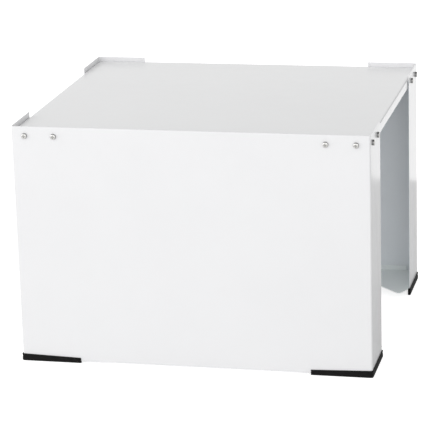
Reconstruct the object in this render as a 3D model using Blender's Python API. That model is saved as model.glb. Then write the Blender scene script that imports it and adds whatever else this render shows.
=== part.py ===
"""Washing-machine pedestal of folded, powder-coated sheet steel.

Units are metres and +Z is up. The front is -Y, the open ends are at -X and +X, and the origin is on
the floor under the middle of the stand. Two C-shaped panels stand on their edges in rubber corner
feet. An angle rail joins their flanges at each open end, and a folded tray lies on the rails' ledges.
The panels rise past the tray as lips that keep an appliance from sliding off. The back panel's lip
is cut away between the corners, for the hoses.
"""

import math

import bmesh
import bpy
from mathutils import Matrix, Vector

# Whole stand
LENGTH = 0.600  # along X, between the outer faces of the end flanges
DEPTH = 0.540  # along Y, between the outer faces of the panels
HEIGHT = 0.410  # floor to the top of the lips
SHEET = 0.0012  # thickness of all the sheet steel
BEND = 0.003  # outer radius of a panel's bends
BEND_STEPS = 4  # flats along one bend
GAP = 0.0003  # left between pieces that touch
SEAT_GAP = 0.0005  # between the tray and the front and back panels
RAIL_GAP = 0.0010  # between a rail and the flanges that it is bolted to
SEAM = 0.0004  # between a rail and the tray's folded edge

# Panels
PANEL_FOOT = 0.0032  # height of a panel's lower edge
FLANGE = 0.1015  # width of the flange at each end of a panel
BACK_LIP = 0.090  # length of each lip that is left on the back panel

# Tray
LIP = 0.008  # rise of the lips above the tray
TRAY_TOP = HEIGHT - LIP
RAIL_DEPTH = 0.017  # from the tray's top to the underside of the rails
TRAY_BEND = 0.0020
TRAY_CORNER = 0.004  # plan radius of the tray's corners
RELIEF = 0.0045  # side of the square cut where two folds meet

# End rails
RAIL_LEDGE = 0.025  # width of the ledge under the tray
RAIL_STEP = 0.0003  # how far a rail's upper edge lies below the tray's top
RAIL_BEND = 0.002

# Stiffeners under the tray
STIFFENER_X = 0.150  # distance of each one's centre line from the middle
STIFFENER_DEPTH = 0.0140
HAT_HALF_BASE = 0.014
HAT_HALF_MOUTH = 0.018
HAT_HALF_WIDTH = 0.032

# Corner gussets above the feet
GUSSET_Z = 0.0140  # height of the plate's lower face
GUSSET_LEG = 0.1555  # where the long edge would meet each sheet
GUSSET_REACH = 0.114  # length of each edge that lies along a sheet
GUSSET_NOSE = 0.0141  # distance of each rounded nose from the sheet's outer face
GUSSET_NOSE_RADIUS = 0.005
GUSSET_RELIEF = 0.008  # the plate's inner corner is cut off this far along each sheet
TAB_START = 0.020  # the upturned weld tabs run from here
TAB_END = 0.096
TAB_HEIGHT = 0.0095  # from the plate's lower face

# Rubber feet
FOOT_ARM = 0.1025  # reach along the panel
FOOT_CORNER_HEIGHT = 0.0124
FOOT_END_HEIGHT = 0.0092  # at the end of the arm along the panel
FOOT_OUTER = 0.0018  # rubber outside the sheet
FOOT_INNER = 0.0034  # inner face, from the sheet's outer face
FOOT_CAP = 0.0022  # rubber past the flange's free edge
FOOT_ROUND = 0.0015  # rounding of the lower edges
RIB_LOW = 0.0062  # the shallow channel along the outer face runs between these heights
RIB_HIGH = 0.0098
RIB_DEPTH = 0.0006

# Screws and nuts, M5
SCREW_Z = 0.394
PANEL_SCREWS = (0.0230, 0.0727)  # distances from the end of the panel
FLANGE_SCREWS = (0.022, 0.0725)  # distances from the panel's outer face
SHANK_RADIUS = 0.0025
HEAD_RADIUS = 0.0048
HEAD_HEIGHT = 0.0037
HEAD_RIM = 0.0016  # straight edge under the rounded top
HEAD_CROWN = 0.0028  # radius of the flat top round the recess
CROSS_REACH = 0.0023  # centre to the end of each arm of the cross recess
CROSS_HALF_WIDTH = 0.00055
CROSS_DEPTH = 0.0019
CROSS_TAPER = 0.6  # size of the recess at its floor
SCREW_LENGTH = 0.010
TIP_CHAMFER = 0.0004
NUT_FLAT = 0.004  # centre to flat
NUT_HEIGHT = 0.004
ROUND_STEPS = 12  # sides of every hole and nut, a multiple of 6 so that hexagons fit
SCREW_STEPS = 24  # sides of every screw, enough for the arms of its recess

HALF_X = LENGTH / 2
HALF_Y = DEPTH / 2
FOLD_Y = SHEET + SEAT_GAP  # the tray's outer face, from the outer face of the front or back panel
RAIL_X = SHEET + RAIL_GAP  # a rail's outer face, from the flanges' outer faces
FOLD_X = RAIL_X + SHEET + SEAM  # the tray's outer face at an open end, from the same place
RAIL_LOW = TRAY_TOP - RAIL_DEPTH
FOLD_LOW = RAIL_LOW + SHEET + GAP  # the tray's folded edges stand on the ledges
HOLE_RADIUS = SHANK_RADIUS + GAP
CORNERS = {
    "front_left": (-1, -1),
    "front_right": (1, -1),
    "back_left": (-1, 1),
    "back_right": (1, 1),
}


# ---------------------------------------------------------------- materials


def material(name, colour, roughness, metallic):
    made = bpy.data.materials.new(name)
    made.use_nodes = True
    made.diffuse_color = (*colour, 1.0)
    shader = made.node_tree.nodes["Principled BSDF"]
    shader.inputs["Base Color"].default_value = (*colour, 1.0)
    shader.inputs["Roughness"].default_value = roughness
    shader.inputs["Metallic"].default_value = metallic
    return made


# ---------------------------------------------------------------- shape tools


def skin(rows, rows_closed=False, points_closed=False, bm=None):
    """Joins rows of points into one closed solid, with end faces where the rows leave it open."""
    bm = bm or bmesh.new()
    grid = [[bm.verts.new(point) for point in row] for row in rows]
    pairs = list(zip(grid, grid[1:]))
    if rows_closed:
        pairs.append((grid[-1], grid[0]))
    made = []
    for row, following in pairs:
        corners = list(zip(row, row[1:], following[1:], following))
        if points_closed:
            corners.append((row[-1], row[0], following[0], following[-1]))
        made += [bm.faces.new(corner) for corner in corners]
    if points_closed and not rows_closed:
        made += [bm.faces.new(grid[0]), bm.faces.new(grid[-1])]
    if rows_closed and not points_closed:
        made += [bm.faces.new([row[end] for row in grid]) for end in (0, -1)]
    bmesh.ops.recalc_face_normals(bm, faces=made)
    return bm


def rounded(points, radius, steps=BEND_STEPS, closed=False):
    """The path through these plan points with each inner corner turned into an arc."""
    points = [Vector(point) for point in points]
    count = len(points)
    path = []
    for index, corner in enumerate(points):
        if not closed and index in (0, count - 1):
            path.append(corner)
            continue
        before = (points[index - 1] - corner).normalized()
        after = (points[(index + 1) % count] - corner).normalized()
        half = before.angle(after) / 2
        centre = corner + (before + after).normalized() * radius / math.sin(half)
        start = corner + before * radius / math.tan(half) - centre
        turn = math.copysign(math.pi - 2 * half, before.cross(start))
        for step in range(steps + 1):
            path.append(centre + Matrix.Rotation(turn * step / steps, 2) @ start)
    return path


def lifted(path, z):
    return [(point[0], point[1], z) for point in path]


def ring(radius, z, steps=ROUND_STEPS):
    angles = [2 * math.pi * step / steps for step in range(steps)]
    return [(radius * math.cos(a), radius * math.sin(a), z) for a in angles]


def hexagon(flat, z):
    """A hexagon with as many points as a ring, its corners and flats at equal steps."""
    points = []
    for step in range(ROUND_STEPS):
        angle = 2 * math.pi * step / ROUND_STEPS
        radius = flat / math.cos(angle % (math.pi / 3) - math.pi / 6)
        points.append((radius * math.cos(angle), radius * math.sin(angle), z))
    return points


def cross(size, z):
    """A cross of four arms with as many points as a screw's ring; size scales it."""
    points = []
    for step in range(SCREW_STEPS):
        angle = 2 * math.pi * step / SCREW_STEPS
        from_arm = (angle + math.pi / 4) % (math.pi / 2) - math.pi / 4
        arm_side = CROSS_HALF_WIDTH / max(abs(math.sin(from_arm)), 1e-6)
        radius = size * min(CROSS_REACH / math.cos(from_arm), arm_side)
        points.append((radius * math.cos(angle), radius * math.sin(angle), z))
    return points


def box(low, high, bm=None):
    corners = [(low[0], low[1]), (high[0], low[1]), (high[0], high[1]), (low[0], high[1])]
    return skin([lifted(corners, low[2]), lifted(corners, high[2])], points_closed=True, bm=bm)


def mesh_from(name, bm, smooth=False):
    mesh = bpy.data.meshes.new(name)
    bm.to_mesh(mesh)
    bm.free()
    if smooth:
        mesh.shade_smooth()
        mesh.set_sharp_from_angle(angle=math.radians(35))
    return mesh


def place(name, mesh, finish, matrix=None):
    made = bpy.data.objects.new(name, mesh)
    made.parent = stand
    made.matrix_world = matrix or Matrix.Identity(4)
    if not mesh.materials:
        mesh.materials.append(finish)
    bpy.context.scene.collection.objects.link(made)
    return made


def cut(piece, cutter_name, cutter_bm, matrix=None):
    """Cuts the piece with a hidden mesh, which holds one or more closed bodies."""
    cutter = bpy.data.objects.new(cutter_name, mesh_from(cutter_name, cutter_bm))
    cutter.matrix_world = matrix or Matrix.Identity(4)
    cutter.hide_render = True
    cutter.display_type = "WIRE"
    bpy.context.scene.collection.objects.link(cutter)
    boolean = piece.modifiers.new("cut", "BOOLEAN")
    boolean.operation = "DIFFERENCE"
    boolean.solver = "EXACT"
    boolean.object = cutter


# ---------------------------------------------------------------- screw places


def screw_places(side):
    """Each screw's seat on the outer face and its outward direction, at one corner."""
    side_x, side_y = side
    places = []
    for distance in PANEL_SCREWS:
        seat = Vector((side_x * (HALF_X - distance), side_y * HALF_Y, SCREW_Z))
        places.append((seat, Vector((0, side_y, 0))))
    for distance in FLANGE_SCREWS:
        seat = Vector((side_x * HALF_X, side_y * (HALF_Y - distance), SCREW_Z))
        places.append((seat, Vector((side_x, 0, 0))))
    return places


def facing(seat, outward):
    """Turns a piece modelled along +Z to face outward from its seat, its flats or arms level."""
    turn = Vector((0, 0, 1)).cross(outward)
    return Matrix.Translation(seat) @ Matrix.Rotation(math.pi / 2, 4, turn)


def add_hole_cutters(bm, sides, panel_screws=True):
    """A cylinder through all the sheets at every screw of these corners."""
    reach = SCREW_LENGTH
    for side in sides:
        for seat, outward in screw_places(side):
            if outward.y and not panel_screws:
                continue
            turned = facing(seat, outward)
            rows = [
                [turned @ Vector(point) for point in ring(HOLE_RADIUS, z)]
                for z in (-reach, reach)
            ]
            skin(rows, points_closed=True, bm=bm)
    return bm


# ---------------------------------------------------------------- pieces


def panel_path(inset):
    """Plan of the front panel's C at this distance inside its outer face."""
    end_y = -HALF_Y + FLANGE
    corners = [
        (-HALF_X + inset, end_y),
        (-HALF_X + inset, -HALF_Y + inset),
        (HALF_X - inset, -HALF_Y + inset),
        (HALF_X - inset, end_y),
    ]
    return rounded(corners, BEND - inset)


def panel_mesh(name):
    outer, inner = panel_path(0), panel_path(SHEET)
    rows = [
        lifted(outer, PANEL_FOOT),
        lifted(inner, PANEL_FOOT),
        lifted(inner, HEIGHT),
        lifted(outer, HEIGHT),
    ]
    return mesh_from(name, skin(rows, rows_closed=True), smooth=True)


def make_panels(finish):
    front = place("front_panel", panel_mesh("front_panel"), finish)
    fronts = [side for side in CORNERS.values() if side[1] < 0]
    cut(front, "front_panel_cutter", add_hole_cutters(bmesh.new(), fronts))

    back = place("back_panel", panel_mesh("back_panel"), finish, Matrix.Rotation(math.pi, 4, "Z"))
    backs = [side for side in CORNERS.values() if side[1] > 0]
    cutter = add_hole_cutters(bmesh.new(), backs)
    notch = HALF_X - BACK_LIP
    past = 0.010
    low = (-notch, HALF_Y - past, TRAY_TOP - SEAT_GAP)
    box(low, (notch, HALF_Y + past, HEIGHT + past), cutter)
    cut(back, "back_panel_cutter", cutter)


def tray_loop(inset, z):
    """The tray's outline at this distance inside its outer faces."""
    x = HALF_X - FOLD_X - inset
    y = HALF_Y - FOLD_Y - inset
    corners = [(-x, -y), (x, -y), (x, y), (-x, y)]
    return lifted(rounded(corners, TRAY_CORNER - inset, closed=True), z)


def make_tray(finish):
    """A shell of one thickness: up the outside of the folds, and back down their inside."""
    angles = [math.pi / 2 * step / BEND_STEPS for step in range(BEND_STEPS + 1)]
    outside = [tray_loop(0, FOLD_LOW)]
    inside = [tray_loop(SHEET, FOLD_LOW)]
    for angle in angles:
        across, up = 1 - math.cos(angle), math.sin(angle)
        bend_z = TRAY_TOP - TRAY_BEND
        inner_bend = TRAY_BEND - SHEET
        outside.append(tray_loop(TRAY_BEND * across, bend_z + TRAY_BEND * up))
        inside.append(tray_loop(SHEET + inner_bend * across, bend_z + inner_bend * up))
    rows = outside[::-1] + inside
    tray = place("top_tray", mesh_from("top_tray", skin(rows, points_closed=True), True), finish)

    cutter = add_hole_cutters(bmesh.new(), CORNERS.values())
    x, y = HALF_X - FOLD_X, HALF_Y - FOLD_Y
    past = 0.002
    for side_x, side_y in CORNERS.values():
        xs = sorted((side_x * (x - RELIEF), side_x * (x + past)))
        ys = sorted((side_y * (y - RELIEF), side_y * (y + past)))
        top = TRAY_TOP - TRAY_BEND - GAP
        box((xs[0], ys[0], FOLD_LOW - past), (xs[1], ys[1], top), cutter)
    cut(tray, "top_tray_cutter", cutter)


def make_rails(finish):
    """Angle rails: an upright face behind the flanges, and a ledge inwards along its lower edge."""
    half_length = HALF_Y - SHEET - GAP
    ledge_x = HALF_X - RAIL_X - RAIL_LEDGE
    outline = []
    for inset in (0, SHEET):
        x, low = HALF_X - RAIL_X - inset, RAIL_LOW + inset
        corners = [(ledge_x, low), (x, low), (x, TRAY_TOP - RAIL_STEP)]
        path = rounded(corners, RAIL_BEND - inset)
        outline += path[::-1] if inset else path
    for name, side in (("end_rail_left", -1), ("end_rail_right", 1)):
        rows = [
            [(side * x, y, z) for x, z in outline] for y in (-half_length, half_length)
        ]
        rail = place(name, mesh_from(name, skin(rows, points_closed=True), True), finish)
        ends = [corner for corner in CORNERS.values() if corner[0] == side]
        cut(rail, name + "_cutter", add_hole_cutters(bmesh.new(), ends, panel_screws=False))


def make_stiffeners(finish):
    """Hat-section bars under the tray, from the front fold to the back one."""
    under = TRAY_TOP - SHEET - GAP
    half_length = HALF_Y - FOLD_Y - SHEET - GAP
    slope = SHEET / STIFFENER_DEPTH  # sideways shift of a slanted wall's inner face
    upper = [
        (HAT_HALF_WIDTH, under),
        (HAT_HALF_MOUTH, under),
        (HAT_HALF_BASE, under - STIFFENER_DEPTH + SHEET),
    ]
    lower = [
        (HAT_HALF_WIDTH, under - SHEET),
        (HAT_HALF_MOUTH + SHEET + slope * SHEET, under - SHEET),
        (HAT_HALF_BASE + SHEET, under - STIFFENER_DEPTH),
    ]
    profile = upper + [(-x, z) for x, z in reversed(upper)]
    profile += [(-x, z) for x, z in lower] + list(reversed(lower))
    for name, centre in (("stiffener_left", -STIFFENER_X), ("stiffener_right", STIFFENER_X)):
        rows = [
            [(centre + x, y, z) for x, z in profile] for y in (-half_length, half_length)
        ]
        place(name, mesh_from(name, skin(rows, points_closed=True)), finish)


def corner_meshes(name, build):
    """The front left piece, and its mirror image for the front right."""
    plain = build()
    mirrored = plain.copy()
    bmesh.ops.scale(mirrored, vec=(-1, 1, 1), verts=mirrored.verts)
    bmesh.ops.reverse_faces(mirrored, faces=mirrored.faces)
    left = mesh_from(name + "_left_hand", plain, smooth=True)
    right = mesh_from(name + "_right_hand", mirrored, smooth=True)
    return left, right


def corner_placings():
    """Each corner's name, whether it takes the left-hand mesh, and how far that is turned."""
    half_turn = Matrix.Rotation(math.pi, 4, "Z")
    for name, (side_x, side_y) in CORNERS.items():
        yield name, side_x == side_y, half_turn if side_y > 0 else Matrix.Identity(4)


def at_corner(along_x, along_y, z):
    """A point by its distances inwards from the front left corner's outer faces."""
    return (-HALF_X + along_x, -HALF_Y + along_y, z)


def gusset_bm():
    """A flat corner plate with two strips along the sheets turned up as weld tabs."""
    edge = SHEET + GAP
    far = edge + SHEET
    nose = GUSSET_LEG - GUSSET_NOSE
    outline = rounded(
        [(edge, GUSSET_REACH), (GUSSET_NOSE, nose), (nose, GUSSET_NOSE), (GUSSET_REACH, edge)],
        GUSSET_NOSE_RADIUS,
    )
    bm = bmesh.new()

    def verts(points):
        return [bm.verts.new(at_corner(x, y, GUSSET_Z)) for x, y in points]

    rim = verts(outline)
    tab_x = verts([(TAB_END, edge), (TAB_END, far), (TAB_START, far), (TAB_START, edge)])
    tab_y = verts([(edge, TAB_START), (far, TAB_START), (far, TAB_END), (edge, TAB_END)])
    relief = verts([(GUSSET_RELIEF, edge), (edge, GUSSET_RELIEF)])
    flats = [bm.faces.new(corners) for corners in (rim + tab_x + relief + tab_y, tab_x, tab_y)]
    raise_faces(bm, flats, SHEET)
    top = GUSSET_Z + SHEET
    raised = [
        face
        for face in bm.faces
        if len(face.verts) == 4 and all(abs(vert.co.z - top) < GAP / 10 for vert in face.verts)
    ]
    for face in raised:
        raise_faces(bm, [face], TAB_HEIGHT - SHEET, keep=False)
    bmesh.ops.recalc_face_normals(bm, faces=bm.faces)
    return bm


def raise_faces(bm, faces, height, keep=True):
    """Extrudes the faces upwards, leaving the lower ones as the underside where keep is set."""
    made = bmesh.ops.extrude_face_region(bm, geom=faces, use_keep_orig=keep)
    verts = [item for item in made["geom"] if isinstance(item, bmesh.types.BMVert)]
    bmesh.ops.translate(bm, vec=(0, 0, height), verts=verts)
    if not keep:
        bmesh.ops.delete(bm, geom=faces, context="FACES_ONLY")


def foot_path(inset, end):
    """Plan of the foot's L at this distance inside the sheet, from the flange end to the arm's."""
    corners = [(inset, FLANGE + end), (inset, inset), (FOOT_ARM, inset)]
    return rounded(corners, max(BEND - inset, SHEET / 3))


def foot_height(point, z):
    """Heights above the sheet's edge shrink evenly along the panel arm."""
    if z <= PANEL_FOOT:
        return z
    end_scale = (FOOT_END_HEIGHT - PANEL_FOOT) / (FOOT_CORNER_HEIGHT - PANEL_FOOT)
    along = max(point[0], 0) / FOOT_ARM
    return PANEL_FOOT + (z - PANEL_FOOT) * (1 + (end_scale - 1) * along)


def foot_bm():
    soft = FOOT_ROUND * (1 - math.sqrt(0.5))
    profile = [
        (-FOOT_OUTER + FOOT_ROUND, 0),
        (-FOOT_OUTER + soft, soft),
        (-FOOT_OUTER, FOOT_ROUND),
        (-FOOT_OUTER, RIB_LOW),
        (-FOOT_OUTER + RIB_DEPTH, RIB_LOW + RIB_DEPTH),
        (-FOOT_OUTER + RIB_DEPTH, RIB_HIGH - RIB_DEPTH),
        (-FOOT_OUTER, RIB_HIGH),
        (-FOOT_OUTER, FOOT_CORNER_HEIGHT - RIB_DEPTH),
        (-FOOT_OUTER + RIB_DEPTH, FOOT_CORNER_HEIGHT),
        (FOOT_INNER, FOOT_CORNER_HEIGHT),
        (FOOT_INNER, FOOT_ROUND),
        (FOOT_INNER - soft, soft),
        (FOOT_INNER - FOOT_ROUND, 0),
    ]
    rows = []
    for inset, z in profile:
        path = foot_path(inset, FOOT_CAP)
        rows.append([at_corner(x, y, foot_height((x, y), z)) for x, y in path])
    return skin(rows, rows_closed=True)


def foot_slot_bm():
    """The slot that takes the panel's edge, which runs out of the arm along the panel."""
    past = 0.010
    rows = []
    for inset, z in (
        (-GAP, PANEL_FOOT - GAP),
        (SHEET + GAP, PANEL_FOOT - GAP),
        (SHEET + GAP, FOOT_CORNER_HEIGHT + past),
        (-GAP, FOOT_CORNER_HEIGHT + past),
    ):
        path = foot_path(inset, GAP)
        path[-1] = path[-1] + Vector((past, 0))
        rows.append([at_corner(x, y, z) for x, y in path])
    return skin(rows, rows_closed=True)


def make_gussets(finish):
    left, right = corner_meshes("corner_gusset", gusset_bm)
    for corner, left_hand, turn in corner_placings():
        place(f"corner_gusset_{corner}", left if left_hand else right, finish, turn)


def make_feet(finish):
    left, right = corner_meshes("rubber_foot", foot_bm)
    for corner, left_hand, turn in corner_placings():
        foot = place(f"rubber_foot_{corner}", left if left_hand else right, finish, turn)
        mirror = Matrix.Identity(4) if left_hand else Matrix.Scale(-1, 4, (1, 0, 0))
        slot = foot_slot_bm()
        slot.transform(mirror)
        bmesh.ops.recalc_face_normals(slot, faces=slot.faces)
        cut(foot, f"rubber_foot_{corner}_cutter", slot, turn)


def screw_mesh():
    """A pan head with a cross recess over its shank, its seat at z = 0."""
    top = GAP + HEAD_HEIGHT
    dome_base = GAP + HEAD_RIM
    dome_rise = top - dome_base
    rows = [cross(CROSS_TAPER, top - CROSS_DEPTH), cross(1.0, top)]
    for angle in (math.pi / 2, math.pi / 4, 0):
        radius = HEAD_CROWN + (HEAD_RADIUS - HEAD_CROWN) * math.cos(angle)
        rows.append(ring(radius, dome_base + dome_rise * math.sin(angle), SCREW_STEPS))
    shank = [
        (HEAD_RADIUS, GAP),
        (SHANK_RADIUS, GAP),
        (SHANK_RADIUS, TIP_CHAMFER - SCREW_LENGTH),
        (SHANK_RADIUS - TIP_CHAMFER, -SCREW_LENGTH),
    ]
    rows += [ring(radius, z, SCREW_STEPS) for radius, z in shank]
    return mesh_from("pan_screw", skin(rows, points_closed=True), smooth=True)


def nut_mesh(name, fold):
    """A hexagon nut against the inside of the fold, placed by the same seat as its screw."""
    near = -(fold + SHEET + GAP)
    far = near - NUT_HEIGHT
    rows = [hexagon(NUT_FLAT, near), hexagon(NUT_FLAT, far), ring(HOLE_RADIUS, far)]
    rows.append(ring(HOLE_RADIUS, near))
    return mesh_from(name, skin(rows, rows_closed=True, points_closed=True), smooth=True)


def make_fasteners(screw_finish, nut_finish):
    screw = screw_mesh()
    panel_nut, rail_nut = nut_mesh("panel_weld_nut", FOLD_Y), nut_mesh("rail_weld_nut", FOLD_X)
    for corner, side in CORNERS.items():
        for number, (seat, outward) in enumerate(screw_places(side), start=1):
            matrix = facing(seat, outward)
            place(f"screw_{corner}_{number}", screw, screw_finish, matrix)
            nut = panel_nut if outward.y else rail_nut
            place(f"weld_nut_{corner}_{number}", nut, nut_finish, matrix)


for leftover in list(bpy.data.objects):
    bpy.data.objects.remove(leftover, do_unlink=True)

stand = bpy.data.objects.new("washing_machine_pedestal", None)
bpy.context.scene.collection.objects.link(stand)

make_panels(material("panel_white_coat", (0.88, 0.88, 0.89), 0.35, 0.0))
make_tray(material("tray_white_coat", (0.87, 0.87, 0.88), 0.32, 0.0))
make_rails(material("rail_white_coat", (0.88, 0.88, 0.89), 0.34, 0.0))
make_stiffeners(material("stiffener_white_coat", (0.85, 0.85, 0.86), 0.40, 0.0))
make_gussets(material("gusset_white_coat", (0.86, 0.86, 0.87), 0.40, 0.0))
make_feet(material("black_rubber", (0.012, 0.011, 0.011), 0.65, 0.0))
make_fasteners(
    material("screw_zinc", (0.66, 0.66, 0.64), 0.28, 1.0),
    material("nut_zinc", (0.62, 0.61, 0.58), 0.40, 1.0),
)
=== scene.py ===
"""The looks of a washing-machine pedestal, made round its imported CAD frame.

Metres, +Z up, the front is -Y and the open ends are at -X and +X, as in the frame. Each CAD node is
replaced by a finer piece in the same place: sheet with rounded bends and coated edges, turned and
chamfered fasteners, and moulded feet.
"""

import math

import bmesh
import bpy
from mathutils import Matrix, Vector


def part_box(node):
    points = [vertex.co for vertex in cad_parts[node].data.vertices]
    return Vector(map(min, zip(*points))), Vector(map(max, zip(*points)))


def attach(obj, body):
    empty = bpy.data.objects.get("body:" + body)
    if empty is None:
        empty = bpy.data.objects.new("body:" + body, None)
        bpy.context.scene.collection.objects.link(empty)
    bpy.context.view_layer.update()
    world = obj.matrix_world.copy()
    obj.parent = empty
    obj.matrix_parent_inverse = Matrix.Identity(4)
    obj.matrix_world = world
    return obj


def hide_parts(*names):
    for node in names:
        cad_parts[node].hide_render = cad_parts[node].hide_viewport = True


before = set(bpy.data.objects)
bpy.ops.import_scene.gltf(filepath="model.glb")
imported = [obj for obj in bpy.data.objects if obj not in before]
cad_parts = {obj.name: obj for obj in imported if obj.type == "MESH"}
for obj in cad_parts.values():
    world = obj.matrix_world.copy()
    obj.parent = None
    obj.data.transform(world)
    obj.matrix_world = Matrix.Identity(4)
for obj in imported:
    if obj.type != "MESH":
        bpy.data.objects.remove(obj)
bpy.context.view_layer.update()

# ---------------------------------------------------------------- sizes, from the frame where it has them


def node_size(node):
    low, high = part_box(node)
    return high - low


front_low, front_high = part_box("front_panel")
tray_low, tray_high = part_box("top_tray")
rail_low, rail_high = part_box("end_rail_right")
stiffener_low, stiffener_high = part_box("stiffener_right")
foot_low, foot_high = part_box("rubber_foot_front_left")
gusset_low, gusset_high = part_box("corner_gusset_front_left")
panel_nut_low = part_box("weld_nut_front_left_1")[0]
rail_nut_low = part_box("weld_nut_front_left_3")[0]

HALF_X = front_high.x  # outer faces of the flanges
HALF_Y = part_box("back_panel")[1].y  # outer faces of the panels
PANEL_FOOT = front_low.z
HEIGHT = front_high.z
FLANGE = front_high.y - front_low.y
TRAY_TOP = tray_high.z
TRAY_X, TRAY_Y, FOLD_LOW = tray_high.x, tray_high.y, tray_low.z

# Sheet work
SHEET = 0.0012
CLEARANCE = 0.0003  # what the CAD leaves between pieces that touch
PANEL_BEND = 0.003
TRAY_BEND = 0.002
TRAY_CORNER = 0.004
RAIL_BEND = 0.002
SEAM_SHADOW = 0.0010  # how far the rail's edge stops below the CAD rail's, under the tray's bend
BEND_STEPS = 12
EDGE_ROUND = 0.00038  # the coated edge of a cut sheet
BACK_LIP = 0.090
NOTCH_Z = TRAY_TOP - 0.0005
RELIEF = 0.0045

# Screws and nuts
SCREW_LENGTH = 0.010
HEAD_RADIUS = node_size("screw_front_left_1").z / 2
HEAD_HEIGHT = 0.0037
HEAD_RIM = 0.0016
HEAD_CROWN = 0.0033  # radius of the head's flat top
HEAD_EDGE = 0.0002  # the chamfer under the head
HEAD_STEPS = 9
CROSS_REACH = 0.0023
CROSS_HALF_WIDTH = 0.00055
CROSS_DEPTH = 0.0014
CROSS_ROWS = (  # how wide the recess is, against its arms' full size, and how deep it is there
    (0.15, CROSS_DEPTH + 0.0003),
    (0.60, CROSS_DEPTH),
    (1.00, 0.0002),
    (1.07, 0.0),
)
SHANK_RADIUS = 0.0025
THREAD_DEPTH = 0.0003
THREAD_PITCH = 0.0008
THREAD_START = 0.0010
HOLE_RADIUS = SHANK_RADIUS + CLEARANCE
NUT_FLAT = node_size("weld_nut_front_left_3").y / 2
NUT_HEIGHT = node_size("weld_nut_front_left_3").x
NUT_FACE = 0.97  # a chamfered face's flats, against the nut's
NUT_CORNER = 1.02  # a chamfered face's corners, against its flats
NUT_CHAMFER = 0.0005
BORE_CHAMFER = 0.0003
ROUND_STEPS = 48
HOLE_STEPS = 24

# Feet
FOOT_OUTER = -HALF_X - foot_low.x
FOOT_ARM = foot_high.x + HALF_X
FOOT_CORNER_HEIGHT = foot_high.z
FOOT_END_HEIGHT = 0.0092
FOOT_INNER = 0.0034
FOOT_CAP = foot_high.y + HALF_Y - FLANGE
FOOT_ROUND = 0.0015
FOOT_LEAST_BEND = SHEET / 3
FOOT_EDGE_ROUND = 0.0003
FOOT_STEPS = 6
FOOT_TOP_STEPS = 5
CHANNEL_LOW, CHANNEL_HIGH, CHANNEL_DEPTH = 0.0062, 0.0098, 0.0006

# Gussets
GUSSET_Z = gusset_low.z
TAB_HEIGHT = gusset_high.z - gusset_low.z
GUSSET_LEG = 0.1555
GUSSET_REACH = 0.114
GUSSET_NOSE = 0.0141
GUSSET_NOSE_RADIUS = 0.005
GUSSET_RELIEF = 0.008
TAB_START = 0.020
TAB_END = 0.096

# Stiffeners
HAT_HALF_BASE, HAT_HALF_MOUTH = 0.014, 0.018
HAT_HALF_WIDTH = (stiffener_high.x - stiffener_low.x) / 2
HAT_INNER_BEND, HAT_OUTER_BEND = SHEET * 0.8, SHEET * 1.2
HAT_STEPS = 5

CORNERS = {
    "front_left": (-1, -1),
    "front_right": (1, -1),
    "back_left": (-1, 1),
    "back_right": (1, 1),
}


# ---------------------------------------------------------------- shape tools


def skin(rows, rows_closed=False, points_closed=False, bm=None):
    """Joins rows of points into one closed solid, with end faces where the rows leave it open."""
    bm = bm or bmesh.new()
    grid = [[bm.verts.new(point) for point in row] for row in rows]
    pairs = list(zip(grid, grid[1:]))
    if rows_closed:
        pairs.append((grid[-1], grid[0]))
    made = []
    for row, following in pairs:
        corners = list(zip(row, row[1:], following[1:], following))
        if points_closed:
            corners.append((row[-1], row[0], following[0], following[-1]))
        made += [bm.faces.new(corner) for corner in corners]
    if points_closed and not rows_closed:
        made += [bm.faces.new(grid[0]), bm.faces.new(grid[-1])]
    if rows_closed and not points_closed:
        made += [bm.faces.new([row[end] for row in grid]) for end in (0, -1)]
    bmesh.ops.recalc_face_normals(bm, faces=made)
    return bm


def rounded(points, radius, steps=BEND_STEPS, closed=False):
    """The path through these plan points with each inner corner turned into an arc."""
    points = [Vector(point) for point in points]
    count = len(points)
    path = []
    for index, corner in enumerate(points):
        if not closed and index in (0, count - 1):
            path.append(corner)
            continue
        before = (points[index - 1] - corner).normalized()
        after = (points[(index + 1) % count] - corner).normalized()
        half = before.angle(after) / 2
        centre = corner + (before + after).normalized() * radius / math.sin(half)
        start = corner + before * radius / math.tan(half) - centre
        turn = math.copysign(math.pi - 2 * half, before.cross(start))
        for step in range(steps + 1):
            path.append(centre + Matrix.Rotation(turn * step / steps, 2) @ start)
    return path


def lifted(path, z):
    return [(point[0], point[1], z) for point in path]


def ring(radius, z, steps=ROUND_STEPS):
    angles = [2 * math.pi * step / steps for step in range(steps)]
    return [(radius * math.cos(a), radius * math.sin(a), z) for a in angles]


def hexagon(flat, z, most=1.0, steps=ROUND_STEPS):
    """A hexagon with as many points as a ring, its corners cut back to most times its flat."""
    points = []
    for step in range(steps):
        angle = 2 * math.pi * step / steps
        radius = min(flat / math.cos(angle % (math.pi / 3) - math.pi / 6), flat * most)
        points.append((radius * math.cos(angle), radius * math.sin(angle), z))
    return points


def cross(size, z, steps=ROUND_STEPS):
    """A cross of four arms with as many points as a ring; size scales it."""
    points = []
    for step in range(steps):
        angle = 2 * math.pi * step / steps
        from_arm = (angle + math.pi / 4) % (math.pi / 2) - math.pi / 4
        arm_side = CROSS_HALF_WIDTH / max(abs(math.sin(from_arm)), 1e-6)
        radius = size * min(CROSS_REACH / math.cos(from_arm), arm_side)
        points.append((radius * math.cos(angle), radius * math.sin(angle), z))
    return points


def rectangle(low, high):
    return [(low[0], low[1]), (high[0], low[1]), (high[0], high[1]), (low[0], high[1])]


def box(low, high, bm=None):
    corners = rectangle(low, high)
    return skin([lifted(corners, low[2]), lifted(corners, high[2])], points_closed=True, bm=bm)


def mesh_from(name, bm, sharp_degrees=30):
    mesh = bpy.data.meshes.new(name)
    bm.to_mesh(mesh)
    bm.free()
    mesh.shade_smooth()
    mesh.set_sharp_from_angle(angle=math.radians(sharp_degrees))
    return mesh


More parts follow.
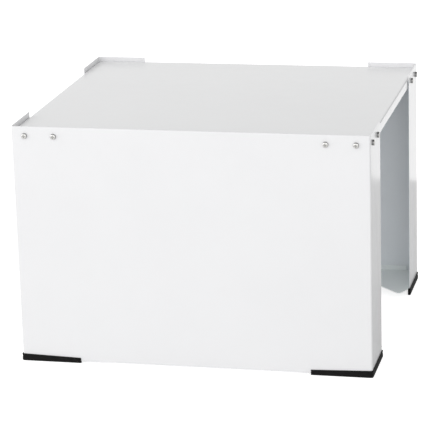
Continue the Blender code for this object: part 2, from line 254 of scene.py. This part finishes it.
def cut(piece, cutter_bm):
    """Cuts the piece with a helper mesh and keeps the result in its mesh."""
    helper = bpy.data.objects.new("helper", mesh_from("helper", cutter_bm))
    bpy.context.scene.collection.objects.link(helper)
    boolean = piece.modifiers.new("cut", "BOOLEAN")
    boolean.operation, boolean.solver, boolean.object = "DIFFERENCE", "EXACT", helper
    bpy.context.view_layer.update()
    graph = bpy.context.evaluated_depsgraph_get()
    result = bpy.data.meshes.new_from_object(piece.evaluated_get(graph), depsgraph=graph)
    piece.modifiers.remove(boolean)
    piece.data = result
    bpy.data.objects.remove(helper, do_unlink=True)


def soften(piece, width=EDGE_ROUND, segments=3, degrees=40):
    """Rounds every edge that turns by more than degrees, and keeps the flats flat in shading."""
    bevel = piece.modifiers.new("edges", "BEVEL")
    bevel.width, bevel.segments = width, segments
    bevel.limit_method, bevel.angle_limit = "ANGLE", math.radians(degrees)
    bevel.miter_outer = "MITER_ARC"
    bevel.harden_normals = True
    piece.data.shade_smooth()


def add_piece(name, mesh, material, node, matrix=None):
    """Puts a piece in the scene in place of its CAD node."""
    piece = bpy.data.objects.new(name, mesh)
    piece.matrix_world = matrix or Matrix.Identity(4)
    bpy.context.scene.collection.objects.link(piece)
    mesh.materials.clear()
    mesh.materials.append(material)
    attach(piece, "root")
    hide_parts(node)
    return piece


# ---------------------------------------------------------------- materials


FRONT_WHITE = (0.862, 0.863, 0.872)
# Painted light: the back panel's coat is brighter than the front's, so that its lips above the tray read
# lighter.
BACK_PAINTED_LIGHT_WHITE = (0.89, 0.89, 0.90)
# Painted shade: a darker, bluer copy of the coat for the back panel's inner face below the tray.
BACK_INSIDE_PAINTED_SHADE = (0.80, 0.84, 0.87)
TRAY_WHITE = (0.86, 0.863, 0.868)
FRAME_WHITE = (0.885, 0.890, 0.900)
GUSSET_WHITE = (0.85, 0.90, 0.90)
SCREW_ZINC = (0.84, 0.84, 0.83)
NUT_ZINC = (0.72, 0.71, 0.69)
RUBBER_BLACK = (0.0035, 0.0032, 0.0032)
RUBBER_BLOOM = (0.0065, 0.0060, 0.0058)


def scaled(colour, factor):
    return tuple(channel * factor for channel in colour)


class Nodes:
    """A short way to build a material's node tree round its Principled shader."""

    def __init__(self, name):
        self.material = bpy.data.materials.new(name)
        self.material.use_nodes = True
        self.tree = self.material.node_tree
        self.shader = self.tree.nodes["Principled BSDF"]
        coordinates = self.add("ShaderNodeTexCoord")
        self.place, self.facing = coordinates.outputs["Object"], coordinates.outputs["Normal"]

    def add(self, kind, **settings):
        node = self.tree.nodes.new(kind)
        for key, value in settings.items():
            setattr(node, key, value)
        return node

    def link(self, source, target):
        self.tree.links.new(source, target)

    def noise(self, scale, detail=2.0, roughness=0.5, stretch=None, distortion=0.0):
        node = self.add("ShaderNodeTexNoise")
        node.inputs["Scale"].default_value = scale
        node.inputs["Detail"].default_value = detail
        node.inputs["Roughness"].default_value = roughness
        node.inputs["Distortion"].default_value = distortion
        source = self.place
        if stretch:
            mapping = self.add("ShaderNodeMapping")
            mapping.inputs["Scale"].default_value = stretch
            self.link(self.place, mapping.inputs["Vector"])
            source = mapping.outputs["Vector"]
        self.link(source, node.inputs["Vector"])
        return node.outputs["Fac"]

    def spread(self, value, low, high, from_low=0.3, from_high=0.7):
        """The value's middle stretch mapped to the range low to high."""
        node = self.add("ShaderNodeMapRange")
        node.inputs["From Min"].default_value = from_low
        node.inputs["From Max"].default_value = from_high
        node.inputs["To Min"].default_value = low
        node.inputs["To Max"].default_value = high
        self.link(value, node.inputs["Value"])
        return node.outputs["Result"]

    def axis(self, vector, name):
        node = self.add("ShaderNodeSeparateXYZ")
        self.link(vector, node.inputs["Vector"])
        return node.outputs[name]

    def mix(self, value, low_colour, high_colour):
        """Mixes two colours or sockets. A Mix node's colour sockets are picked by number."""
        first, second, result = 6, 7, 2
        node = self.add("ShaderNodeMix", data_type="RGBA")
        self.link(value, node.inputs["Factor"])
        for socket, colour in ((node.inputs[first], low_colour), (node.inputs[second], high_colour)):
            if isinstance(colour, tuple):
                socket.default_value = (*colour, 1.0)
            else:
                self.link(colour, socket)
        return node.outputs[result]

    def bump(self, height, strength, distance, below=None):
        node = self.add("ShaderNodeBump")
        node.inputs["Strength"].default_value = strength
        node.inputs["Distance"].default_value = distance
        self.link(height, node.inputs["Height"])
        if below:
            self.link(below, node.inputs["Normal"])
        return node.outputs["Normal"]


def powder_coat(name, colour, gloss_low=0.13, gloss_high=0.19, inside=None):
    """Semi-gloss powder coat: fine orange peel over very slight waves in the sheet.

    Where a colour is given for inside, the faces that look to the front below the tray take it, as
    painted shade.
    """
    n = Nodes(name)
    darker = 0.985
    shade = n.spread(n.noise(9.0, detail=3.0), 0.0, 1.0)
    tinted = n.mix(shade, scaled(colour, darker), colour)
    # Painted shade: the faces that look to the front below the tray take the darker inside colour.
    if inside:
        towards_front = n.spread(n.axis(n.facing, "Y"), 1.0, 0.0, from_low=-0.8, from_high=-0.2)
        height = n.axis(n.place, "Z")
        above_tray = n.spread(height, 0.0, 1.0, from_low=TRAY_TOP - TRAY_BEND, from_high=TRAY_TOP)
        inner = n.mix(above_tray, n.mix(shade, scaled(inside, darker), inside), tinted)
        tinted = n.mix(towards_front, tinted, inner)
    specks = n.spread(n.noise(700.0, detail=1.0), 0.0, 1.0, from_low=0.70, from_high=0.78)
    n.link(n.mix(specks, tinted, scaled(colour, 0.93)), n.shader.inputs["Base Color"])
    patches = n.noise(38.0, detail=4.0, roughness=0.6)
    n.link(n.spread(patches, gloss_low, gloss_high), n.shader.inputs["Roughness"])
    waves = n.bump(n.noise(7.0, detail=1.0), strength=0.10, distance=0.0012)
    peel_noise = n.noise(520.0, roughness=0.55)
    peel = n.bump(peel_noise, strength=0.10, distance=0.00012, below=waves)
    n.link(peel, n.shader.inputs["Normal"])
    n.shader.inputs["IOR"].default_value = 1.50
    return n.material


def zinc(name, colour, roughness):
    """Bright zinc plate with fine turned marks, rougher on the sides round its axis and darker there as
    painted shade.
    """
    n = Nodes(name)
    n.shader.inputs["Metallic"].default_value = 1.0
    patches = n.noise(260.0, detail=3.0, roughness=0.6)
    warm = (colour[0], colour[1] * 0.98, colour[2] * 0.95)
    bright = n.mix(n.spread(patches, 0.0, 1.0), colour, warm)
    # Painted shade: faces that turn away from the axis take a much darker copy of the plate, for the
    # heads' dark rims.
    painted_shade_sides = n.mix(patches, scaled(colour, 0.34), scaled(colour, 0.46))
    side = n.spread(n.axis(n.facing, "Z"), 1.0, 0.0, from_low=0.2, from_high=0.8)
    n.link(n.mix(side, bright, painted_shade_sides), n.shader.inputs["Base Color"])
    rougher = n.add("ShaderNodeMath", operation="MULTIPLY_ADD")
    n.link(side, rougher.inputs[0])
    rougher.inputs[1].default_value = roughness
    n.link(n.spread(patches, roughness * 0.8, roughness * 1.3), rougher.inputs[2])
    n.link(rougher.outputs["Value"], n.shader.inputs["Roughness"])
    rings = n.add("ShaderNodeTexWave", wave_type="RINGS", rings_direction="Z")
    rings.inputs["Scale"].default_value = 900.0
    rings.inputs["Distortion"].default_value = 1.5
    n.link(n.place, rings.inputs["Vector"])
    turned = n.bump(rings.outputs["Fac"], strength=0.05, distance=0.00003)
    pits = n.bump(n.noise(1800.0), strength=0.15, distance=0.00004, below=turned)
    n.link(pits, n.shader.inputs["Normal"])
    return n.material


def moulded_rubber(name):
    """Matt black rubber with moulding grain and a thin grey bloom in patches."""
    n = Nodes(name)
    patches = n.noise(75.0, detail=4.0, roughness=0.65)
    bloom = n.spread(patches, 0.0, 1.0, from_low=0.45, from_high=0.75)
    n.link(n.mix(bloom, RUBBER_BLACK, RUBBER_BLOOM), n.shader.inputs["Base Color"])
    n.link(n.spread(n.noise(180.0), 0.55, 0.70), n.shader.inputs["Roughness"])
    flow = n.bump(n.noise(60.0, stretch=(1.0, 1.0, 4.0)), strength=0.25, distance=0.0003)
    grain_noise = n.noise(1400.0, detail=3.0, roughness=0.6)
    grain = n.bump(grain_noise, strength=0.35, distance=0.00008, below=flow)
    n.link(grain, n.shader.inputs["Normal"])
    n.shader.inputs["IOR"].default_value = 1.30
    return n.material


# ---------------------------------------------------------------- screw places


def screw_matrices():
    """Each screw's number, its corner and the matrix that turns +Z outward at its seat."""
    for corner, (side_x, side_y) in CORNERS.items():
        for number in range(1, 5):
            low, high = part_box(f"screw_{corner}_{number}")
            middle = (low + high) / 2
            if number <= 2:
                outward = Vector((0, side_y, 0))
                seat = Vector((middle.x, side_y * (HALF_Y + CLEARANCE), middle.z))
            else:
                outward = Vector((side_x, 0, 0))
                seat = Vector((side_x * (HALF_X + CLEARANCE), middle.y, middle.z))
            turn = Vector((0, 0, 1)).cross(outward)
            matrix = Matrix.Translation(seat) @ Matrix.Rotation(math.pi / 2, 4, turn)
            yield corner, number, matrix


def hole_cutters(wanted):
    """A cylinder through all the sheets at every screw that wanted(corner, number) picks."""
    bm = bmesh.new()
    for corner, number, matrix in screw_matrices():
        if wanted(corner, number):
            rows = [
                [matrix @ Vector(point) for point in ring(HOLE_RADIUS, z, HOLE_STEPS)]
                for z in (-SCREW_LENGTH, SCREW_LENGTH)
            ]
            skin(rows, points_closed=True, bm=bm)
    return bm


# ---------------------------------------------------------------- sheet pieces


def panel_path(inset):
    end_y = -HALF_Y + FLANGE
    corners = [
        (-HALF_X + inset, end_y),
        (-HALF_X + inset, -HALF_Y + inset),
        (HALF_X - inset, -HALF_Y + inset),
        (HALF_X - inset, end_y),
    ]
    return rounded(corners, PANEL_BEND - inset)


def panel_mesh(name, half_turn=False):
    outer, inner = panel_path(0), panel_path(SHEET)
    levels = ((outer, PANEL_FOOT), (inner, PANEL_FOOT), (inner, HEIGHT), (outer, HEIGHT))
    bm = skin([lifted(path, z) for path, z in levels], rows_closed=True)
    if half_turn:
        bm.transform(Matrix.Rotation(math.pi, 4, "Z"))
    return mesh_from(name, bm)


def make_panels(front_material, back_material):
    front_mesh = panel_mesh("front")
    front = add_piece("front_panel_sheet", front_mesh, front_material, "front_panel")
    cut(front, hole_cutters(lambda corner, number: corner.startswith("front")))
    soften(front)

    back_mesh = panel_mesh("back", half_turn=True)
    back = add_piece("back_panel_sheet", back_mesh, back_material, "back_panel")
    notch = hole_cutters(lambda corner, number: corner.startswith("back"))
    past = 0.010
    half = HALF_X - BACK_LIP
    box((-half, HALF_Y - past, NOTCH_Z), (half, HALF_Y + past, HEIGHT + past), notch)
    cut(back, notch)
    soften(back)


def tray_loop(inset, z):
    x, y = TRAY_X - inset, TRAY_Y - inset
    corners = rectangle((-x, -y), (x, y))
    return lifted(rounded(corners, TRAY_CORNER - inset, closed=True), z)


def make_tray(material):
    outside, inside = [tray_loop(0, FOLD_LOW)], [tray_loop(SHEET, FOLD_LOW)]
    for step in range(BEND_STEPS + 1):
        angle = math.pi / 2 * step / BEND_STEPS
        across, up = 1 - math.cos(angle), math.sin(angle)
        bend_z, inner_bend = TRAY_TOP - TRAY_BEND, TRAY_BEND - SHEET
        outside.append(tray_loop(TRAY_BEND * across, bend_z + TRAY_BEND * up))
        inside.append(tray_loop(SHEET + inner_bend * across, bend_z + inner_bend * up))
    mesh = mesh_from("tray", skin(outside[::-1] + inside, points_closed=True))
    tray = add_piece("top_tray_sheet", mesh, material, "top_tray")
    cutter = hole_cutters(lambda corner, number: True)
    past = 0.002
    for side_x, side_y in CORNERS.values():
        xs = sorted((side_x * (TRAY_X - RELIEF), side_x * (TRAY_X + past)))
        ys = sorted((side_y * (TRAY_Y - RELIEF), side_y * (TRAY_Y + past)))
        top = TRAY_TOP - TRAY_BEND - CLEARANCE
        box((xs[0], ys[0], FOLD_LOW - past), (xs[1], ys[1], top), cutter)
    cut(tray, cutter)
    soften(tray)


def make_rails(material):
    outline = []
    for inset in (0, SHEET):
        x, low = rail_high.x - inset, rail_low.z + inset
        path = rounded([(rail_low.x, low), (x, low), (x, rail_high.z - SEAM_SHADOW)], RAIL_BEND - inset)
        outline += path[::-1] if inset else path
    for hand, side in (("left", -1), ("right", 1)):
        rows = [[(side * x, y, z) for x, z in outline] for y in (rail_low.y, rail_high.y)]
        mesh = mesh_from("rail", skin(rows, points_closed=True))
        rail = add_piece(f"end_rail_{hand}_sheet", mesh, material, f"end_rail_{hand}")
        cut(rail, hole_cutters(lambda corner, number: corner.endswith(hand) and number > 2))
        soften(rail)


def make_stiffeners(material):
    top, bottom = stiffener_high.z, stiffener_low.z
    inner = [(HAT_HALF_WIDTH, top), (HAT_HALF_MOUTH, top), (HAT_HALF_BASE, bottom + SHEET)]
    outer = [
        (HAT_HALF_WIDTH, top - SHEET),
        (HAT_HALF_MOUTH + SHEET, top - SHEET),
        (HAT_HALF_BASE + SHEET, bottom),
    ]
    upper = rounded(inner + [(-x, z) for x, z in reversed(inner)], HAT_INNER_BEND, HAT_STEPS)
    lower = rounded(outer + [(-x, z) for x, z in reversed(outer)], HAT_OUTER_BEND, HAT_STEPS)
    outline = upper + lower[::-1]
    for hand in ("left", "right"):
        low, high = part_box(f"stiffener_{hand}")
        centre = (low.x + high.x) / 2
        rows = [[(centre + x, y, z) for x, z in outline] for y in (low.y, high.y)]
        mesh = mesh_from("stiffener", skin(rows, points_closed=True))
        bar = add_piece(f"stiffener_{hand}_bar", mesh, material, f"stiffener_{hand}")
        soften(bar, degrees=60)


# ---------------------------------------------------------------- corner pieces


def at_corner(along_x, along_y, z):
    """A point by its distances inwards from the front left corner's outer faces."""
    return (-HALF_X + along_x, -HALF_Y + along_y, z)


def corner_matrix(side_x, side_y):
    """Carries the front left corner's shape to another corner."""
    return Matrix.Diagonal((-side_x, -side_y, 1, 1))


def to_corner(bm, sides):
    bm.transform(corner_matrix(*sides))
    bmesh.ops.recalc_face_normals(bm, faces=bm.faces)
    return bm


def raise_faces(bm, faces, height, keep=True):
    made = bmesh.ops.extrude_face_region(bm, geom=faces, use_keep_orig=keep)
    verts = [item for item in made["geom"] if isinstance(item, bmesh.types.BMVert)]
    bmesh.ops.translate(bm, vec=(0, 0, height), verts=verts)
    if not keep:
        bmesh.ops.delete(bm, geom=faces, context="FACES_ONLY")


def gusset_bm():
    edge = SHEET + CLEARANCE
    far = edge + SHEET
    nose = GUSSET_LEG - GUSSET_NOSE
    outline = rounded(
        [(edge, GUSSET_REACH), (GUSSET_NOSE, nose), (nose, GUSSET_NOSE), (GUSSET_REACH, edge)],
        GUSSET_NOSE_RADIUS,
    )
    bm = bmesh.new()

    def verts(points):
        return [bm.verts.new(at_corner(x, y, GUSSET_Z)) for x, y in points]

    rim = verts(outline)
    tab_x = verts([(TAB_END, edge), (TAB_END, far), (TAB_START, far), (TAB_START, edge)])
    tab_y = verts([(edge, TAB_START), (far, TAB_START), (far, TAB_END), (edge, TAB_END)])
    relief = verts([(GUSSET_RELIEF, edge), (edge, GUSSET_RELIEF)])
    flats = [bm.faces.new(corners) for corners in (rim + tab_x + relief + tab_y, tab_x, tab_y)]
    raise_faces(bm, flats, SHEET)
    top = GUSSET_Z + SHEET
    raised = [
        face
        for face in bm.faces
        if len(face.verts) == 4 and all(abs(vert.co.z - top) < CLEARANCE / 10 for vert in face.verts)
    ]
    for face in raised:
        raise_faces(bm, [face], TAB_HEIGHT - SHEET, keep=False)
    return bm


def make_gussets(material):
    for corner, sides in CORNERS.items():
        node = f"corner_gusset_{corner}"
        mesh = mesh_from(node, to_corner(gusset_bm(), sides))
        plate = add_piece(node + "_plate", mesh, material, node)
        soften(plate)


def foot_path(inset, end):
    corners = [(inset, FLANGE + end), (inset, inset), (FOOT_ARM, inset)]
    return rounded(corners, max(PANEL_BEND - inset, FOOT_LEAST_BEND))


def foot_height(x, z):
    """Heights above the sheet's edge shrink evenly along the panel arm."""
    if z <= PANEL_FOOT:
        return z
    end_scale = (FOOT_END_HEIGHT - PANEL_FOOT) / (FOOT_CORNER_HEIGHT - PANEL_FOOT)
    return PANEL_FOOT + (z - PANEL_FOOT) * (1 + (end_scale - 1) * max(x, 0) / FOOT_ARM)


def foot_profile():
    """The foot's outline across one arm: rounded sole edges and a shallow channel outside."""
    sole = [(FOOT_INNER, 0), (-FOOT_OUTER, 0), (-FOOT_OUTER, CHANNEL_LOW)]
    outside = rounded(sole, FOOT_ROUND, FOOT_STEPS)[1:]
    channel = [
        (-FOOT_OUTER, CHANNEL_LOW),
        (-FOOT_OUTER + CHANNEL_DEPTH, CHANNEL_LOW + CHANNEL_DEPTH),
        (-FOOT_OUTER + CHANNEL_DEPTH, CHANNEL_HIGH - CHANNEL_DEPTH),
        (-FOOT_OUTER, CHANNEL_HIGH),
        (-FOOT_OUTER, FOOT_CORNER_HEIGHT),
    ]
    inner_top = (FOOT_INNER, FOOT_CORNER_HEIGHT)
    crown = [(-FOOT_OUTER, CHANNEL_HIGH), (-FOOT_OUTER, FOOT_CORNER_HEIGHT), inner_top]
    top = rounded(crown, CHANNEL_DEPTH, FOOT_TOP_STEPS)[1:]
    inside = rounded([inner_top, (FOOT_INNER, 0), (0, 0)], FOOT_ROUND, FOOT_STEPS)[1:-1]
    return outside[:-1] + [Vector(point) for point in channel[:-1]] + top + inside


def foot_bm():
    rows = []
    for inset, z in foot_profile():
        path = foot_path(inset, FOOT_CAP)
        rows.append([at_corner(x, y, foot_height(x, z)) for x, y in path])
    return skin(rows, rows_closed=True)


def foot_slot_bm():
    past = 0.010
    rows = []
    for inset, z in (
        (-CLEARANCE / 2, PANEL_FOOT - CLEARANCE),
        (SHEET + CLEARANCE / 2, PANEL_FOOT - CLEARANCE),
        (SHEET + CLEARANCE / 2, FOOT_CORNER_HEIGHT + past),
        (-CLEARANCE / 2, FOOT_CORNER_HEIGHT + past),
    ):
        path = foot_path(inset, CLEARANCE)
        path[-1] = path[-1] + Vector((past, 0))
        rows.append([at_corner(x, y, z) for x, y in path])
    return skin(rows, rows_closed=True)


def make_feet(material):
    for corner, sides in CORNERS.items():
        node = f"rubber_foot_{corner}"
        mesh = mesh_from(node, to_corner(foot_bm(), sides))
        foot = add_piece(node + "_moulding", mesh, material, node)
        cut(foot, to_corner(foot_slot_bm(), sides))
        soften(foot, FOOT_EDGE_ROUND, segments=2, degrees=50)


# ---------------------------------------------------------------- fasteners


def screw_mesh():
    """A pan head with a tapering cross recess, over a shank with rolled thread."""
    top = HEAD_HEIGHT
    rows = [cross(width, top - depth) for width, depth in CROSS_ROWS]
    for step in range(HEAD_STEPS + 1):
        angle = math.pi / 2 * (1 - step / HEAD_STEPS)
        radius = HEAD_CROWN + (HEAD_RADIUS - HEAD_CROWN) * math.cos(angle)
        rows.append(ring(radius, HEAD_RIM + (top - HEAD_RIM) * math.sin(angle)))
    rows += [ring(HEAD_RADIUS, HEAD_EDGE), ring(HEAD_RADIUS - HEAD_EDGE, 0), ring(SHANK_RADIUS, 0)]
    z = -THREAD_START
    while z > -SCREW_LENGTH + THREAD_PITCH:
        rows.append(ring(SHANK_RADIUS, z))
        rows.append(ring(SHANK_RADIUS - THREAD_DEPTH, z - THREAD_PITCH / 2))
        z -= THREAD_PITCH
    rows.append(ring(SHANK_RADIUS - THREAD_DEPTH * 2, -SCREW_LENGTH))
    return mesh_from("pan_screw", skin(rows, points_closed=True), sharp_degrees=38)


def nut_mesh(name, near):
    """A hexagon nut with both faces and both ends of its bore chamfered."""
    far = near - NUT_HEIGHT
    rows = [
        hexagon(NUT_FLAT * NUT_FACE, near, NUT_CORNER),
        hexagon(NUT_FLAT, near - NUT_CHAMFER),
        hexagon(NUT_FLAT, far + NUT_CHAMFER),
        hexagon(NUT_FLAT * NUT_FACE, far, NUT_CORNER),
        ring(HOLE_RADIUS + BORE_CHAMFER, far),
        ring(HOLE_RADIUS, far + BORE_CHAMFER),
        ring(HOLE_RADIUS, near - BORE_CHAMFER),
        ring(HOLE_RADIUS + BORE_CHAMFER, near),
    ]
    return mesh_from(name, skin(rows, rows_closed=True, points_closed=True))


def make_fasteners(screw_material, nut_material):
    screw = screw_mesh()
    panel_nut = nut_mesh("panel_nut", -(panel_nut_low.y + HALF_Y + CLEARANCE))
    rail_nut = nut_mesh("rail_nut", -(rail_nut_low.x + HALF_X + CLEARANCE))
    for corner, number, matrix in screw_matrices():
        name = f"screw_{corner}_{number}"
        add_piece(name + "_steel", screw, screw_material, name, matrix)
        name = f"weld_nut_{corner}_{number}"
        nut = panel_nut if number <= 2 else rail_nut
        add_piece(name + "_steel", nut, nut_material, name, matrix)


# ---------------------------------------------------------------- studio

BACK_HIGH_POWER = 15.5
BACK_LOW_POWER = 32.0
FRONT_POWER = 106.0
LEFT_POWER = 58.0
WORLD_STRENGTH = 0.623
SEEN_FLOOR_GLOW = 0.80
FLOOR_SHADE = 0.80
SEEN_FLOOR_Z = -0.0003
BOUNCE_FLOOR_Z = -0.0006
CARD_Z = 3.0


def plain(name, shade, glow=0.0):
    """A matt grey surface from black to white, slightly uneven in tone."""
    n = Nodes(name)
    tone = n.mix(n.noise(3.0), (shade * 0.99,) * 3, (shade,) * 3)
    n.link(tone, n.shader.inputs["Base Color"])
    n.shader.inputs["Roughness"].default_value = 0.9
    n.shader.inputs["Specular IOR Level"].default_value = 0.0
    n.shader.inputs["Emission Color"].default_value = (shade, shade, shade, 1.0)
    n.shader.inputs["Emission Strength"].default_value = glow
    return n.material


def floor(name, low, high, z, material):
    bm = bmesh.new()
    bm.faces.new([bm.verts.new(corner) for corner in lifted(rectangle(low, high), z)])
    mesh = bpy.data.meshes.new(name)
    bm.to_mesh(mesh)
    bm.free()
    mesh.materials.append(material)
    plane = bpy.data.objects.new(name, mesh)
    bpy.context.scene.collection.objects.link(plane)
    return plane


def soft_light(name, place, aim, size, power):
    light = bpy.data.lights.new(name, "AREA")
    light.shape, light.size, light.size_y = "RECTANGLE", size[0], size[1]
    light.energy = power
    lamp = bpy.data.objects.new(name, light)
    lamp.location = place
    lamp.rotation_euler = (Vector(aim) - Vector(place)).to_track_quat("-Z", "Y").to_euler()
    lamp.visible_camera = False
    bpy.context.scene.collection.objects.link(lamp)


def make_studio():
    """A white floor with soft walls of light round it.

    The floor that the camera sees only catches shadows. The floor that lights the pedestal is
    darker and ends behind it, so that the glossy ends mirror the bright back wall above the floor.
    The dark card above shows only in the glossy faces that mirror it.
    """
    floor_white = plain("floor_white", 0.90, SEEN_FLOOR_GLOW)
    seen = floor("floor_seen", (-9, -9), (9, 9), SEEN_FLOOR_Z, floor_white)
    seen.visible_diffuse = seen.visible_glossy = seen.visible_shadow = False
    floor_grey = plain("floor_grey", FLOOR_SHADE)
    bounce = floor("floor_bounce", (-4, -6), (4, 0.95), BOUNCE_FLOOR_Z, floor_grey)
    bounce.visible_camera = bounce.visible_shadow = False
    card_black = plain("card_black", 0.03)
    card = floor("dark_card_above", (-2.5, -2.6), (2.5, 2.0), CARD_Z, card_black)
    card.visible_camera = card.visible_diffuse = card.visible_shadow = False

    soft_light("back_wall_high", (0, 3.2, 1.25), (0, 0, 1.25), (10.0, 1.3), BACK_HIGH_POWER)
    soft_light("back_wall_low", (0, 3.2, -0.35), (0, 0, -0.35), (10.0, 1.9), BACK_LOW_POWER)
    soft_light("front_wall", (0, -4.8, 1.5), (0, 0, 1.5), (7.0, 3.0), FRONT_POWER)
    soft_light("left_wall", (-3.4, -0.6, 1.3), (0, -0.6, 1.3), (6.0, 2.6), LEFT_POWER)

    world = bpy.data.worlds.new("studio")
    world.use_nodes = True
    world.node_tree.nodes["Background"].inputs["Color"].default_value = (1, 1, 1, 1)
    world.node_tree.nodes["Background"].inputs["Strength"].default_value = WORLD_STRENGTH
    bpy.context.scene.world = world
    bpy.context.scene.view_settings.view_transform = "Standard"


# The camera stands a little to the right of the front, looks slightly down and is rolled a little.
CAMERA_AZIMUTH = math.radians(13.241)
CAMERA_ELEVATION = math.radians(16.231)
CAMERA_ROLL = math.radians(-1.6894)
CAMERA_DISTANCE = 3.935
CAMERA_TARGET = Vector((-0.01648, -0.020, 0.19487))
CAMERA_LENS = 187.824
SENSOR_WIDTH = 36.0


def make_camera():
    level = math.cos(CAMERA_ELEVATION)
    back = Vector((
        math.sin(CAMERA_AZIMUTH) * level,
        -math.cos(CAMERA_AZIMUTH) * level,
        math.sin(CAMERA_ELEVATION),
    ))
    right = Vector((0, 0, 1)).cross(back).normalized()
    up = back.cross(right)
    rolled_right = math.cos(CAMERA_ROLL) * right + math.sin(CAMERA_ROLL) * up
    rolled_up = back.cross(rolled_right)
    camera = bpy.data.cameras.new("camera")
    camera.lens, camera.sensor_width = CAMERA_LENS, SENSOR_WIDTH
    camera.clip_start, camera.clip_end = 0.1, 50.0
    holder = bpy.data.objects.new("camera", camera)
    turn = Matrix((rolled_right, rolled_up, back)).transposed().to_4x4()
    holder.matrix_world = Matrix.Translation(CAMERA_TARGET + CAMERA_DISTANCE * back) @ turn
    bpy.context.scene.collection.objects.link(holder)
    bpy.context.scene.camera = holder


# ---------------------------------------------------------------- the scene

make_camera()
make_studio()
front_coat = powder_coat("white_powder_coat", FRONT_WHITE)
# The back panel's coat: painted light on its lips above the tray, painted shade on its inner face below
# it.
back_coat = powder_coat("white_powder_coat_back_painted_light_and_shade", BACK_PAINTED_LIGHT_WHITE, inside=BACK_INSIDE_PAINTED_SHADE)
make_panels(front_coat, back_coat)
make_tray(powder_coat("white_powder_coat_tray", TRAY_WHITE, gloss_low=0.12, gloss_high=0.17))
frame_coat = powder_coat("white_powder_coat_frame", FRAME_WHITE)
make_rails(frame_coat)
make_stiffeners(frame_coat)
make_gussets(powder_coat("white_powder_coat_gusset", GUSSET_WHITE, gloss_low=0.10, gloss_high=0.15))
make_feet(moulded_rubber("black_moulded_rubber"))
screw_plate = zinc("zinc_plate_screw", SCREW_ZINC, roughness=0.20)
nut_plate = zinc("zinc_plate_nut", NUT_ZINC, roughness=0.30)
make_fasteners(screw_plate, nut_plate)
